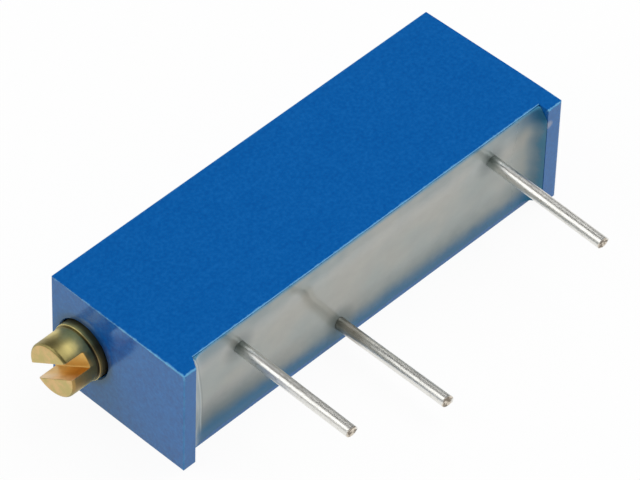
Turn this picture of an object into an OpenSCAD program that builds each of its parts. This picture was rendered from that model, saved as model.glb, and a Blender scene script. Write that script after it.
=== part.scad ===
// Multiturn trimmer potentiometer with a rectangular housing, lying on one wide side.
// X runs along the housing from the adjustment screw to the far end, the terminal pins
// point to -Y, and Z is the height above the side that the housing lies on.
// The origin is the middle of that side. Every size is in millimetres.

/* [Housing] */
// Length of the housing, without the screw head
housing_length = 19.05; // [19:0.05:26]
// Depth from the back face to the tips of the standoff feet
housing_depth = 6.6; // [5.4:0.05:10]
// Width between the two wide sides
housing_width = 4.83; // [4.8:0.01:8]
// Thickness of the two wide side walls
side_wall = 0.45; // [0.3:0.01:0.5]
// Thickness of the back wall behind the carriage
back_wall = 0.5; // [0.3:0.05:0.55]
// Thickness of the wall at the far end, which is also the far standoff foot
far_wall = 0.75; // [0.6:0.05:0.85]
// Thickness of the standoff foot at the screw end, at its tip
near_foot = 0.57; // [0.4:0.01:0.9]
// How much the inner flank of that foot leans into the housing
near_foot_slope = 0.29; // [0:0.01:0.5]
// Height of the standoff feet above the potting
standoff = 0.48; // [0.2:0.01:0.8]
// Inset of the screw end at the back face, from mould draft
near_draft = 0.06; // [0:0.01:0.12]
// Inset of the far end at the back face, from mould draft
far_draft = 0.18; // [0:0.01:0.3]
// Radius of the moulded outer edges
edge_radius = 0.05; // [0.03:0.01:0.2]
// Radius of the outer edge of the far foot
far_foot_radius = 0.12; // [0.05:0.01:0.3]
// Length of the solid end block that carries the screw
end_block = 2.95; // [2.9:0.05:3]
// Width of the ledge that the resistance element seats on
element_ledge = 0.1; // [0.05:0.01:0.15]

/* [Adjustment screw] */
// Distance from the back face to the screw axis
screw_from_back = 1.58; // [1.35:0.01:2]
// Offset of the screw axis from the middle of the width
screw_offset = -0.08; // [-0.1:0.01:0.1]
// Diameter of the slotted head
head_diameter = 2.19; // [1.8:0.01:2.25]
// How far the head stands out of the housing
head_reach = 1.48; // [1.2:0.01:3]
// Bevel round the front edge of the head
head_bevel = 0.13; // [0.05:0.01:0.3]
// Width of the screwdriver slot
slot_width = 0.64; // [0.4:0.01:0.8]
// Depth of the screwdriver slot
slot_depth = 0.76; // [0.4:0.01:0.95]
// Angle of the slot from the wide sides
slot_angle = 145; // [0:1:180]
// Diameter of the screw where it runs in the housing
journal_diameter = 2.3; // [1.9:0.01:2.32]
// Radial running clearance of the screw in its bore
journal_clearance = 0.05; // [0.02:0.01:0.08]
// Chamfer round the front edge of the journal, behind the groove
journal_chamfer = 0.04; // [0.02:0.01:0.08]
// Length of the rim that stands proud of the bore
rim_length = 0.24; // [0.1:0.01:0.35]
// Width and depth of the turned groove in front of the rim
rim_groove = 0.08; // [0.04:0.01:0.12]
// Flare of the bore's mouth
mouth_flare = 0.1; // [0:0.01:0.12]
// Diameter of the round section of the sealing ring
seal_section = 0.47; // [0.4:0.01:0.5]
// Distance from the end face to the middle of the sealing ring
seal_from_face = 0.85; // [0.6:0.05:1]
// Diameter of the tail journal at the far end
tail_diameter = 0.9; // [0.6:0.05:1.2]
// Depth of the tail journal's seat in the far wall
tail_seat = 0.58; // [0.4:0.01:0.65]
// End play of the tail journal in its seat, and of the large journal in the end block
end_play = 0.05; // [0.03:0.01:0.08]

/* [Retaining clip] */
// Thickness of the spring steel clip
clip_thickness = 0.25; // [0.15:0.01:0.35]
// Width of each leg of the clip
clip_leg = 0.42; // [0.3:0.01:0.45]
// How far the legs reach past the screw axis
clip_reach = 0.95; // [0.6:0.05:1]
// Radius of the rounded hooks that close the legs on the groove
clip_hook = 0.12; // [0.06:0.01:0.14]
// Diameter of the screw in the clip's groove
clip_groove_diameter = 1.56; // [1.4:0.02:1.6]
// Distance from the end face to the middle of the clip
clip_from_face = 1.7; // [1.6:0.05:1.9]
// Clearance of the clip in the groove and in its slot
clip_clearance = 0.03; // [0.02:0.01:0.05]

/* [Drive thread] */
// Outer diameter of the drive thread
thread_diameter = 1.6; // [1.4:0.05:1.7]
// Depth of the drive thread
thread_depth = 0.18; // [0.1:0.01:0.2]
// Pitch of the drive thread
thread_pitch = 0.794; // [0.66:0.001:0.794]
// Width of the thread's crest
thread_crest = 0.2; // [0.1:0.01:0.22]
// Axial width of each sloping flank
thread_flank = 0.13; // [0.08:0.01:0.14]
// Clearance between the screw's thread and the carriage
thread_clearance = 0.05; // [0.03:0.01:0.06]
// Length of the thread that runs out inside the end block
thread_runout = 0.35; // [0.25:0.01:0.5]
// Length of the collar that ends the thread
collar_length = 0.12; // [0.1:0.01:0.2]
// Gap between the carriage and the collar at the end of the travel
collar_gap = 0.1; // [0.05:0.01:0.15]
// Turns from one end of the travel to the other
travel_turns = 15; // [10:1:15]

/* [Carriage] */
// Length of the carriage along the screw
carriage_length = 2.5; // [2.3:0.05:2.6]
// Carriage material between the thread and the contact's seat
carriage_floor = 0.55; // [0.4:0.05:0.6]
// Chamfer along the four long edges of the carriage
carriage_chamfer = 0.15; // [0.05:0.01:0.25]
// Sliding clearance of the carriage in the housing
carriage_clearance = 0.1; // [0.05:0.01:0.15]
// Diameter of the two staked pegs that hold the contact
peg_diameter = 0.4; // [0.3:0.02:0.44]
// Diameter of the staked heads
peg_head = 0.66; // [0.5:0.02:0.7]
// Height of the staked heads
peg_head_height = 0.13; // [0.08:0.01:0.16]
// Bevel round the staked heads
peg_head_bevel = 0.08; // [0.03:0.01:0.1]

/* [Wiper contact] */
// Distance from the carriage's near end to the curled tips of the fingers
contact_lead = 0.04; // [0.02:0.01:0.1]
// Inset of the contact's plate from the carriage's far end
contact_inset = 0.15; // [0.05:0.01:0.2]
// Sheet left outside the staked heads
contact_margin = 0.05; // [0.02:0.01:0.1]
// Clearance of the contact's holes round the pegs
contact_hole_clearance = 0.02; // [0.01:0.01:0.04]
// Thickness of the contact's spring sheet
contact_sheet = 0.1; // [0.06:0.01:0.12]
// Distance from the carriage down to the surface of the tracks
contact_drop = 0.8; // [0.7:0.05:0.9]
// Length of the sprung fingers along the screw
finger_length = 0.95; // [0.8:0.05:1.1]
// Width of one finger
finger_width = 0.2; // [0.15:0.01:0.22]
// Gap between two fingers
finger_gap = 0.07; // [0.05:0.01:0.08]
// Outer radius of a finger's curled tip
finger_tip = 0.16; // [0.13:0.01:0.2]
// Gap left between the finger tips and the tracks
contact_gap = 0.02; // [0.01:0.005:0.04]
// Number of fingers on the resistive track
resistive_fingers = 3; // [1:1:3]
// Number of fingers on the collector track
collector_fingers = 2; // [1:1:2]

/* [Resistance element] */
// Thickness of the ceramic substrate
substrate_thickness = 0.63; // [0.4:0.01:0.8]
// Gap round the substrate in the housing
substrate_gap = 0.03; // [0.02:0.01:0.05]
// Thickness of the printed tracks
film_thickness = 0.05; // [0.03:0.01:0.06]
// Width of the resistive track
resistive_width = 0.8; // [0.75:0.01:0.84]
// Width of the collector track
collector_width = 0.55; // [0.5:0.01:0.58]
// Distance from the outer pins' row to the middle of the resistive track
resistive_offset = 0.85; // [0.8:0.01:0.9]
// Distance from the wiper pin's row to the middle of the collector track
collector_offset = 0.75; // [0.7:0.01:0.78]
// Half length of a printed pad along the screw
pad_reach = 0.5; // [0.4:0.01:0.55]

/* [Terminal pins] */
// Diameter of the tinned wire pins
pin_diameter = 0.51; // [0.4:0.01:0.61]
// Length of the pins below the standoff feet
pin_length = 5; // [2:0.05:12]
// Distance along the housing from the near pin to the wiper pin
pin_pitch_near = 5.08; // [4:0.01:6]
// Distance along the housing from the wiper pin to the far pin
pin_pitch_far = 7.62; // [6.7:0.01:8.7]
// Distance between the row of the outer pins and the wiper pin
pin_row_offset = 2.54; // [2.5:0.01:3]
// Height of the wiper pin above the side the housing lies on
wiper_pin_height = 0.91; // [0.9:0.01:1.4]
// Bevel at the cut end of a pin
pin_tip_bevel = 0.05; // [0.02:0.01:0.1]
// Width of the flattened part that anchors a pin in the potting
anchor_width = 0.74; // [0.65:0.01:0.9]
// Thickness of that flattened part
anchor_thickness = 0.3; // [0.2:0.01:0.4]
// Length of the shoulders between the round pin and the flattened part
anchor_shoulder = 0.15; // [0.1:0.01:0.2]
// Depth of the round pin in the potting before it is flattened
anchor_cover = 0.1; // [0.06:0.01:0.14]

/* [Solder and potting] */
// Radial gap that the solder fills between a pin and its hole
solder_gap = 0.05; // [0.04:0.01:0.08]
// Width of the solder fillet on the pad, outside the hole
solder_fillet = 0.035; // [0.02:0.005:0.06]
// Height of the solder fillet on the pad
solder_height = 0.12; // [0.08:0.01:0.15]
// Height of the potting that climbs the pins and the feet
meniscus = 0.14; // [0.05:0.01:0.16]
// Gap between the potting or the solder and what they are cast against
cast_gap = 0.01; // [0.005:0.005:0.02]

/* [Hidden] */
$fn = 48;

// Cuts run past the faces they open by this much
cut = 1;
arc_steps = 5;
thread_steps = 20;

// Planes of the housing
near_x = -housing_length / 2;
far_x = housing_length / 2;
back_y = housing_depth / 2;
foot_y = -housing_depth / 2;
rim_y = foot_y + standoff;
inner_near_x = near_x + near_foot + near_foot_slope;
inner_far_x = far_x - far_wall;
block_x = near_x + end_block;
chamber_end_x = inner_far_x - 2 * element_ledge;
chamber_low_z = side_wall + element_ledge;
chamber_width = housing_width - 2 * chamber_low_z;

// Screw axis and the stack of planes below it
screw_y = back_y - screw_from_back;
screw_z = housing_width / 2 + screw_offset;
journal_r = journal_diameter / 2;
bore_r = journal_r + journal_clearance;
thread_r = thread_diameter / 2;
thread_root_r = thread_r - thread_depth;
nut_r = thread_r + thread_clearance;
carriage_y = screw_y - nut_r - carriage_floor;
track_y = carriage_y - contact_drop;
seat_y = track_y - film_thickness;
substrate_y = seat_y - substrate_thickness;

// Carriage at mid travel, with the line of contact at x = 0
travel = travel_turns * thread_pitch;
carriage_x = -finger_tip - contact_lead;
carriage_top_y = back_y - back_wall - carriage_clearance;
plate_x = finger_length;
plate_end_x = carriage_x + carriage_length - contact_inset;
peg_x = (plate_x + plate_end_x) / 2 + contact_sheet;

// Drive thread
thread_start_x = block_x - thread_runout;
collar_x = carriage_x + carriage_length + travel / 2 + collar_gap;
tail_x = chamber_end_x + tail_seat - end_play;
thread_end_x = collar_x + 0.8 * collar_length - thread_crest / 2 - 1.5 * thread_flank;
thread_turns = (thread_end_x - thread_start_x) / thread_pitch;
core_r = thread_root_r * cos(180 / thread_steps) - cast_gap / 2;

// Retaining clip
clip_x = near_x + clip_from_face;
clip_groove_r = clip_groove_diameter / 2;
clip_inner_r = clip_groove_r + clip_clearance;
clip_outer_r = clip_inner_r + clip_leg;
clip_top_y = screw_y + clip_reach;

// Terminal pins
pin_r = pin_diameter / 2;
near_pin_x = -(pin_pitch_near + pin_pitch_far) / 2;
wiper_pin_x = near_pin_x + pin_pitch_near;
far_pin_x = wiper_pin_x + pin_pitch_far;
outer_pin_z = wiper_pin_height + pin_row_offset;
pin_tip_y = foot_y - pin_length;
pin_hole_r = pin_r + solder_gap;
solder_r = pin_hole_r + solder_fillet;
anchor_y = rim_y + anchor_cover;

// Printed tracks
resistive_z = outer_pin_z - resistive_offset;
collector_z = wiper_pin_height + collector_offset;
resistive_end_near_x = near_pin_x + pad_reach;
resistive_end_far_x = far_pin_x - pad_reach;

// Points of an arc round c, from angle a to angle b
function arc(c, r, a, b) =
    [for (i = [0:arc_steps]) let (at = a + (b - a) * i / arc_steps) c + r * [cos(at), sin(at)]];

// Points of a hollow fillet that leaves point a towards the corner and ends at point b
function hollow(a, corner, b) =
    [for (i = [0:arc_steps]) let (t = i / arc_steps)
        (1 - t) ^ 2 * a + 2 * t * (1 - t) * corner + t ^ 2 * b];

// A box between two opposite corners
module block(low, high) {
    translate(low) cube(high - low);
}

// Extrudes a shape drawn in Y and Z along X, from one plane to another
module along_x(from, to) {
    translate([from, 0, 0]) rotate([90, 0, 90]) linear_extrude(to - from) children();
}

// Turns a profile drawn as radius and X about the screw axis
module about_screw() {
    translate([0, screw_y, screw_z]) rotate([0, 90, 0]) rotate_extrude() children();
}

// Turns a profile drawn as radius and Y about a pin's axis
module about_pin(x, z) {
    translate([x, 0, z]) rotate([-90, 0, 0]) rotate_extrude() children();
}

// Rectangle with round corners, from one corner to the opposite one
module rounded_rectangle(low, high, r) {
    translate(low + [r, 0]) square(high - low - [2 * r, 0]);
    translate(low + [0, r]) square(high - low - [0, 2 * r]);
    for (x = [low.x + r, high.x - r], y = [low.y + r, high.y - r])
        translate([x, y]) circle(r);
}

// Helical thread with its core, as one closed solid about Z from its first crest upwards
module thread(root_r, crest_r, crest, turns) {
    rows = floor(turns * thread_steps);
    radii = [root_r, crest_r, crest_r, root_r];
    breaks = [-crest / 2 - thread_flank, -crest / 2, crest / 2, crest / 2 + thread_flank];
    points = concat(
        [for (i = [0:rows], b = [0:3]) let (a = 360 * i / thread_steps)
            [radii[b] * cos(a), radii[b] * sin(a), thread_pitch * i / thread_steps + breaks[b]]],
        [[0, 0, breaks[0] - thread_flank / 2],
         [0, 0, thread_pitch * rows / thread_steps + breaks[3] + thread_flank / 2]]
    );
    first_tip = 4 * (rows + 1);
    last_tip = first_tip + 1;
    flanks = [for (i = [0:rows - 1], b = [0:2], half = [0, 1])
        let (n = 4 * i + b) half == 0 ? [n, n + 1, n + 4] : [n + 1, n + 5, n + 4]];
    roots = [for (i = [0:rows - thread_steps - 1], half = [0, 1]) let (n = i + thread_steps)
        half == 0 ? [4 * i + 3, 4 * n, 4 * i + 7] : [4 * n, 4 * n + 4, 4 * i + 7]];
    first_loop = concat([for (i = [0:thread_steps]) 4 * i], [3, 2, 1, 0]);
    last_loop = concat([for (i = [rows - thread_steps:rows]) 4 * i + 3],
                       [4 * rows + 2, 4 * rows + 1, 4 * rows, 4 * (rows - thread_steps) + 3]);
    first_cap = [for (k = [0:len(first_loop) - 2]) [first_tip, first_loop[k], first_loop[k + 1]]];
    last_cap = [for (k = [0:len(last_loop) - 2]) [last_tip, last_loop[k + 1], last_loop[k]]];
    polyhedron(points, concat(flanks, roots, first_cap, last_cap), convexity = 10);
}

// The thread on the screw axis, with its first crest at x
module drive_thread(x, grow, turns) {
    translate([x, screw_y, screw_z]) rotate([0, 90, 0])
        thread(thread_root_r + grow, thread_r + grow, thread_crest + 2 * grow, turns);
}

// Side view of the housing in X and Y, with its two feet and the mould draft
module housing_side() {
    r = edge_radius;
    polygon(concat(
        arc([near_x + near_draft + r, back_y - r], r, 180, 90),
        arc([far_x - far_draft - r, back_y - r], r, 90, 0),
        arc([far_x - far_foot_radius, foot_y + far_foot_radius], far_foot_radius, 0, -90),
        [[inner_far_x, foot_y], [inner_far_x, rim_y]],
        [[inner_near_x, rim_y], [near_x + near_foot, foot_y]],
        arc([near_x + r, foot_y + r], r, -90, -180)
    ));
}

module housing_outside() {
    intersection() {
        linear_extrude(housing_width) housing_side();
        along_x(near_x - cut, far_x + cut)
            rounded_rectangle([foot_y, 0], [back_y, housing_width], edge_radius);
        translate([0, back_y, 0]) rotate([90, 0, 0]) linear_extrude(housing_depth)
            rounded_rectangle([near_x, 0], [far_x, housing_width], edge_radius);
    }
}

// Pocket that takes the potting and the resistance element, open at the pin side
module potting_pocket() {
    block([inner_near_x, foot_y - cut, side_wall], [inner_far_x, seat_y, housing_width - side_wall]);
}

// Space for the carriage, with a shallow relief over the near pad and beside the wiper pin
module carriage_chamber() {
    relief_y = track_y + 2 * solder_height;
    wiper_relief = pad_reach + carriage_clearance;
    block([block_x, seat_y - cut, chamber_low_z],
          [chamber_end_x, back_y - back_wall, chamber_low_z + chamber_width]);
    block([near_pin_x - pad_reach - carriage_clearance, seat_y - cut, chamber_low_z],
          [block_x + cut, relief_y, chamber_low_z + chamber_width]);
    block([wiper_pin_x - wiper_relief, seat_y - cut, side_wall],
          [wiper_pin_x + wiper_relief, relief_y, chamber_low_z + cut]);
}

// Bore for the screw with its flared mouth, and the seat of the tail journal
module screw_bores() {
    about_screw() polygon([
        [0, near_x - cut], [bore_r + mouth_flare + cut, near_x - cut], [bore_r, near_x + mouth_flare],
        [bore_r, block_x + cut], [0, block_x + cut]
    ]);
    about_screw() translate([0, chamber_end_x - cut])
        square([tail_diameter / 2 + journal_clearance, tail_seat + cut]);
}

// Slot that the retaining clip is pushed into before the element closes it
module clip_slot() {
    half = clip_thickness / 2 + clip_clearance;
    reach = clip_outer_r + clip_clearance;
    block([clip_x - half, seat_y - cut, screw_z - reach],
          [clip_x + half, clip_top_y + clip_clearance, screw_z + reach]);
}

module housing() {
    color("#1560ab") difference() {
        housing_outside();
        potting_pocket();
        carriage_chamber();
        screw_bores();
        clip_slot();
    }
}

// Wire pin with a bevelled tip, a flattened anchor and a round spigot in the substrate
module pin(x, z, grow = 0) {
    r = pin_r + grow;
    neck = 0.6 * r;
    half = anchor_width / 2 + grow;
    round_end_y = anchor_y + anchor_shoulder / 3;
    spigot_y = substrate_y - cast_gap + grow;
    about_pin(x, z) polygon([
        [0, pin_tip_y - grow], [r - pin_tip_bevel, pin_tip_y - grow], [r, pin_tip_y + pin_tip_bevel],
        [r, round_end_y], [0, round_end_y]
    ]);
    translate([x, 0, z - anchor_thickness / 2 - grow]) linear_extrude(anchor_thickness + 2 * grow)
        polygon([
            [-neck, anchor_y], [neck, anchor_y], [half, anchor_y + anchor_shoulder],
            [half, spigot_y], [-half, spigot_y], [-half, anchor_y + anchor_shoulder]
        ]);
    low_y = substrate_y - anchor_shoulder - grow;
    about_pin(x, z) translate([0, low_y]) square([r, track_y + solder_height / 2 - low_y]);
}

module near_pin() {
    color("#b9b8b2") pin(near_pin_x, outer_pin_z);
}

module wiper_pin() {
    color("#b9b8b2") pin(wiper_pin_x, wiper_pin_height);
}

module far_pin() {
    color("#b9b8b2") pin(far_pin_x, outer_pin_z);
}

module all_pins(grow) {
    pin(near_pin_x, outer_pin_z, grow);
    pin(wiper_pin_x, wiper_pin_height, grow);
    pin(far_pin_x, outer_pin_z, grow);
}

// Ring of potting that climbs one pin and ends in a blunt lip
module pin_meniscus(x, z) {
    lip = meniscus / 8;
    about_pin(x, z) translate([pin_r + cast_gap, rim_y - meniscus]) polygon(concat(
        [[0, 0]], arc([meniscus + lip, 0], meniscus, 180, 100),
        [[meniscus + lip, 2 * meniscus], [0, 2 * meniscus]]
    ));
}

// Potting that fills the pocket below the element and climbs both feet
module potting() {
    low_x = inner_near_x + cast_gap;
    high_x = inner_far_x - cast_gap;
    lean = near_foot_slope * meniscus / standoff;
    color("#a3a59f") difference() {
        union() {
            translate([0, 0, side_wall + cast_gap])
                linear_extrude(housing_width - 2 * side_wall - 2 * cast_gap)
                polygon(concat(
                    [[low_x, substrate_y - cast_gap], [high_x, substrate_y - cast_gap]],
                    hollow([high_x, rim_y - meniscus], [high_x, rim_y], [high_x - meniscus, rim_y]),
                    hollow([low_x + meniscus, rim_y], [low_x, rim_y], [low_x - lean, rim_y - meniscus]),
                    [[low_x, rim_y]]
                ));
            pin_meniscus(near_pin_x, outer_pin_z);
            pin_meniscus(wiper_pin_x, wiper_pin_height);
            pin_meniscus(far_pin_x, outer_pin_z);
        }
        all_pins(cast_gap);
    }
}

module pin_hole(x, z) {
    about_pin(x, z) translate([0, substrate_y - cut])
        square([pin_hole_r, substrate_thickness + film_thickness + 2 * cut]);
}

module element_substrate() {
    color("#e9e6dc") difference() {
        block([inner_near_x + substrate_gap, substrate_y, side_wall + substrate_gap],
              [inner_far_x - substrate_gap, seat_y, housing_width - side_wall - substrate_gap]);
        pin_hole(near_pin_x, outer_pin_z);
        pin_hole(wiper_pin_x, wiper_pin_height);
        pin_hole(far_pin_x, outer_pin_z);
    }
}

module resistive_track() {
    color("#2c2b2a") block(
        [resistive_end_near_x, seat_y, resistive_z - resistive_width / 2],
        [resistive_end_far_x, track_y, resistive_z + resistive_width / 2]
    );
}

// Printed pad that joins an outer pin to its end of the resistive track
module outer_pad(x) {
    difference() {
        block([x - pad_reach, seat_y, resistive_z - resistive_width / 2],
              [x + pad_reach, track_y, outer_pin_z + solder_r]);
        pin_hole(x, outer_pin_z);
    }
}

module near_pad() {
    color("#c9c7bd") outer_pad(near_pin_x);
}

module far_pad() {
    color("#c9c7bd") outer_pad(far_pin_x);
}

// Collector track along the whole travel, with a tab to the wiper pin
module collector_track() {
    half = collector_width / 2;
    color("#c9c7bd") difference() {
        union() {
            block([near_pin_x - pad_reach + carriage_clearance, seat_y, collector_z - half],
                  [far_pin_x, track_y, collector_z + half]);
            block([wiper_pin_x - pad_reach, seat_y, wiper_pin_height - solder_r],
                  [wiper_pin_x + pad_reach, track_y, collector_z]);
        }
        pin_hole(wiper_pin_x, wiper_pin_height);
    }
}

// Solder that fills a pin's hole and rises round its end
module solder(x, z) {
    inner = pin_r + cast_gap;
    about_pin(x, z) polygon([
        [inner, substrate_y], [pin_hole_r - cast_gap, substrate_y], [pin_hole_r - cast_gap, track_y],
        [solder_r, track_y], [(inner + solder_r) / 2, track_y + solder_height * 0.6],
        [inner, track_y + solder_height]
    ]);
}

module near_solder() {
    color("#d4d4d0") solder(near_pin_x, outer_pin_z);
}

module wiper_solder() {
    color("#d4d4d0") solder(wiper_pin_x, wiper_pin_height);
}

module far_solder() {
    color("#d4d4d0") solder(far_pin_x, outer_pin_z);
}

// Spring steel fork that holds the screw by its groove
module retaining_clip() {
    color("#8c9096") along_x(clip_x - clip_thickness / 2, clip_x + clip_thickness / 2)
        translate([screw_y, screw_z]) {
            difference() {
                union() {
                    circle(clip_outer_r);
                    translate([0, -clip_outer_r]) square([clip_reach, 2 * clip_outer_r]);
                }
                circle(clip_inner_r);
                translate([0, -clip_inner_r]) square([clip_reach + cut, 2 * clip_inner_r]);
            }
            for (side = [-1, 1])
                translate([clip_reach - clip_hook, side * clip_inner_r]) circle(clip_hook);
        }
}

// Turned outline of the screw from its head to the start of the thread
module screw_turning() {
    head_r = head_diameter / 2;
    front_x = near_x - head_reach;
    rim_x = near_x - rim_length;
    seal_x = near_x + seal_from_face;
    seal_half = seal_section / 2 + clip_clearance;
    clip_half = clip_thickness / 2 + 1.5 * clip_clearance;
    journal_end_x = block_x - 2 * end_play;
    groove_r = bore_r - cast_gap - seal_section - cast_gap;
    about_screw() polygon([
        [0, front_x], [head_r - head_bevel, front_x], [head_r, front_x + head_bevel],
        [head_r, rim_x - rim_groove], [head_r - rim_groove, rim_x - rim_groove / 2],
        [head_r - rim_groove, rim_x],
        [journal_r - journal_chamfer, rim_x], [journal_r, rim_x + journal_chamfer],
        [journal_r, seal_x - seal_half], [groove_r, seal_x - seal_half],
        [groove_r, seal_x + seal_half], [journal_r, seal_x + seal_half],
        [journal_r, clip_x - clip_half], [clip_groove_r, clip_x - clip_half],
        [clip_groove_r, clip_x + clip_half], [journal_r, clip_x + clip_half],
        [journal_r, journal_end_x], [0, journal_end_x]
    ]);
}

module screw_slot() {
    translate([near_x - head_reach, screw_y, screw_z]) rotate([slot_angle, 0, 0])
        translate([-cut, -head_diameter, -slot_width / 2])
        cube([slot_depth + cut, 2 * head_diameter, slot_width]);
}

// One turned piece: slotted head, rim, two grooves, drive thread and tail journal
module lead_screw() {
    color("#b39b5a") {
        difference() {
            screw_turning();
            screw_slot();
        }
        drive_thread(thread_start_x, 0, thread_turns);
        about_screw() translate([0, thread_start_x]) square([core_r, collar_x - thread_start_x]);
        about_screw() translate([0, collar_x]) square([nut_r, collar_length]);
        about_screw() translate([0, collar_x]) square([tail_diameter / 2, tail_x - collar_x]);
    }
}

module sealing_ring() {
    color("#26262a") about_screw()
        translate([bore_r - cast_gap - seal_section / 2, near_x + seal_from_face])
        circle(seal_section / 2);
}

// Heights across the width where the contact is staked
function peg_heights() = [collector_z, resistive_z + resistive_width / 2];

module carriage_pegs() {
    head_y = carriage_y - contact_sheet - cast_gap;
    for (z = peg_heights()) {
        about_pin(peg_x, z) translate([0, head_y - contact_sheet])
            square([peg_diameter / 2, 2 * contact_sheet + 2 * cast_gap + carriage_floor / 2]);
        about_pin(peg_x, z) polygon([
            [0, head_y - peg_head_height], [peg_head / 2 - peg_head_bevel, head_y - peg_head_height],
            [peg_head / 2, head_y - peg_head_height + peg_head_bevel], [peg_head / 2, head_y], [0, head_y]
        ]);
    }
}

// Half nut that rides under the screw, guided by the walls of the chamber
module carriage() {
    end_x = carriage_x + carriage_length;
    first_turn = floor((carriage_x - thread_start_x) / thread_pitch) - 1;
    c = carriage_chamfer;
    low_z = chamber_low_z + carriage_clearance;
    high_z = low_z + chamber_width - 2 * carriage_clearance;
    color("#efe9d6") {
        difference() {
            along_x(carriage_x, end_x) polygon([
                [carriage_y, low_z + c], [carriage_y + c, low_z],
                [carriage_top_y - c, low_z], [carriage_top_y, low_z + c],
                [carriage_top_y, high_z - c], [carriage_top_y - c, high_z],
                [carriage_y + c, high_z], [carriage_y, high_z - c]
            ]);
            block([carriage_x - cut, screw_y, screw_z - nut_r],
                  [end_x + cut, carriage_top_y + cut, screw_z + nut_r]);
            drive_thread(thread_start_x + first_turn * thread_pitch, thread_clearance,
                         ceil(carriage_length / thread_pitch) + 3);
        }
        carriage_pegs();
    }
}

// Side view of one sprung finger in X and Y, from the plate to its curled tip
module finger_side() {
    middle_r = finger_tip - contact_sheet / 2;
    inner_r = finger_tip - contact_sheet;
    centre = [0, track_y + contact_gap + finger_tip];
    root = [plate_x + contact_sheet, carriage_y - contact_sheet / 2];
    span = root - centre;
    tangent = atan2(span.y, span.x) - acos(middle_r / norm(span));
    across = contact_sheet / 2 * [cos(tangent), sin(tangent)];
    polygon(concat([root + across], arc(centre, finger_tip, tangent, -210),
                   arc(centre, inner_r, -210, tangent), [root - across]));
}

module fingers(middle_z, count) {
    pitch = finger_width + finger_gap;
    for (k = [0:count - 1])
        translate([0, 0, middle_z + (k - (count - 1) / 2) * pitch - finger_width / 2])
            linear_extrude(finger_width) finger_side();
}

// One stamped spring that bridges the two tracks
module wiper_contact() {
    low_z = collector_z - collector_width / 2;
    high_z = resistive_z + resistive_width / 2;
    tab = peg_head / 2 + contact_margin;
    color("#c9b27a") difference() {
        union() {
            block([plate_x, carriage_y - contact_sheet, low_z], [plate_end_x, carriage_y, high_z + tab]);
            fingers(resistive_z, resistive_fingers);
            fingers(collector_z, collector_fingers);
        }
        for (z = peg_heights())
            about_pin(peg_x, z) translate([0, carriage_y - cut])
                square([peg_diameter / 2 + contact_hole_clearance, 2 * cut]);
    }
}

housing();
potting();
element_substrate();
resistive_track();
collector_track();
near_pad();
far_pad();
near_pin();
wiper_pin();
far_pin();
near_solder();
wiper_solder();
far_solder();
retaining_clip();
lead_screw();
sealing_ring();
carriage();
wiper_contact();
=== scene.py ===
import math

import bmesh
import bpy
from mathutils import Matrix, Vector, geometry, noise


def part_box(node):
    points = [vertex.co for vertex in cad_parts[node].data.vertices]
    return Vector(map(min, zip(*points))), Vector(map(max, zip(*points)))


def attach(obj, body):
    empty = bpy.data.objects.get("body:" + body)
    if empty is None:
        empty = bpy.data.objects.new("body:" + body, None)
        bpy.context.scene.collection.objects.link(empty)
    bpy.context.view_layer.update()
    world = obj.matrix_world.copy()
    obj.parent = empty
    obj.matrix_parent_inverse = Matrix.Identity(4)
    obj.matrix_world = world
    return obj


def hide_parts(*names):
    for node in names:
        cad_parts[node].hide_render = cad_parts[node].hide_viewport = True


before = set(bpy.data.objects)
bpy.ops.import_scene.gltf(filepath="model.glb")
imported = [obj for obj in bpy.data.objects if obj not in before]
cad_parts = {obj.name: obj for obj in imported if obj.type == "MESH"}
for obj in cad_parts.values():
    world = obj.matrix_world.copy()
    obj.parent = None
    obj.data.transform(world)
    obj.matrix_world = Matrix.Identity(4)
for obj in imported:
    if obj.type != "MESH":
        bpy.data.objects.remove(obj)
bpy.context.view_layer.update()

# Looks of a multiturn trimmer: a blue moulded housing, grey potting, tinned wire pins
# and a brass adjustment screw. X runs along the housing from the screw to the far end,
# the pins point to -Y, and the part lies on its side with Z up. Sizes are in millimetres
# up to the studio section, and every mesh is scaled to metres when it is made.

MM = 0.001


def box_mm(node):
    low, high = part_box(node)
    return low / MM, high / MM


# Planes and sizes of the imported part
HOUSING_LOW, HOUSING_HIGH = box_mm("housing")
POTTING_LOW, POTTING_HIGH = box_mm("potting")
SUBSTRATE_LOW, SUBSTRATE_HIGH = box_mm("element_substrate")
SCREW_LOW, SCREW_HIGH = box_mm("lead_screw")

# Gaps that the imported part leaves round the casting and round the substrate
CAST_GAP = 0.01
SUBSTRATE_GAP = 0.03

# The feet stand out of the plane of the rims by STANDOFF; their flanks face the potting
NEAR_X, FOOT_Y = HOUSING_LOW.x, HOUSING_LOW.y
BACK_Y, WIDTH = HOUSING_HIGH.y, HOUSING_HIGH.z
SIDE_WALL = POTTING_LOW.z - CAST_GAP
STANDOFF = 0.48
RIM_Y = FOOT_Y + STANDOFF
NEAR_FOOT_SLOPE = 0.29
NEAR_FLANK_X = SUBSTRATE_LOW.x - SUBSTRATE_GAP
FAR_FLANK_X = SUBSTRATE_HIGH.x + SUBSTRATE_GAP
POTTING_TOP_Y = POTTING_HIGH.y


def smoothstep(low, high, value):
    t = min(max((value - low) / (high - low), 0.0), 1.0)
    return t * t * (3 - 2 * t)


# ---------------------------------------------------------------- meshes


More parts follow.
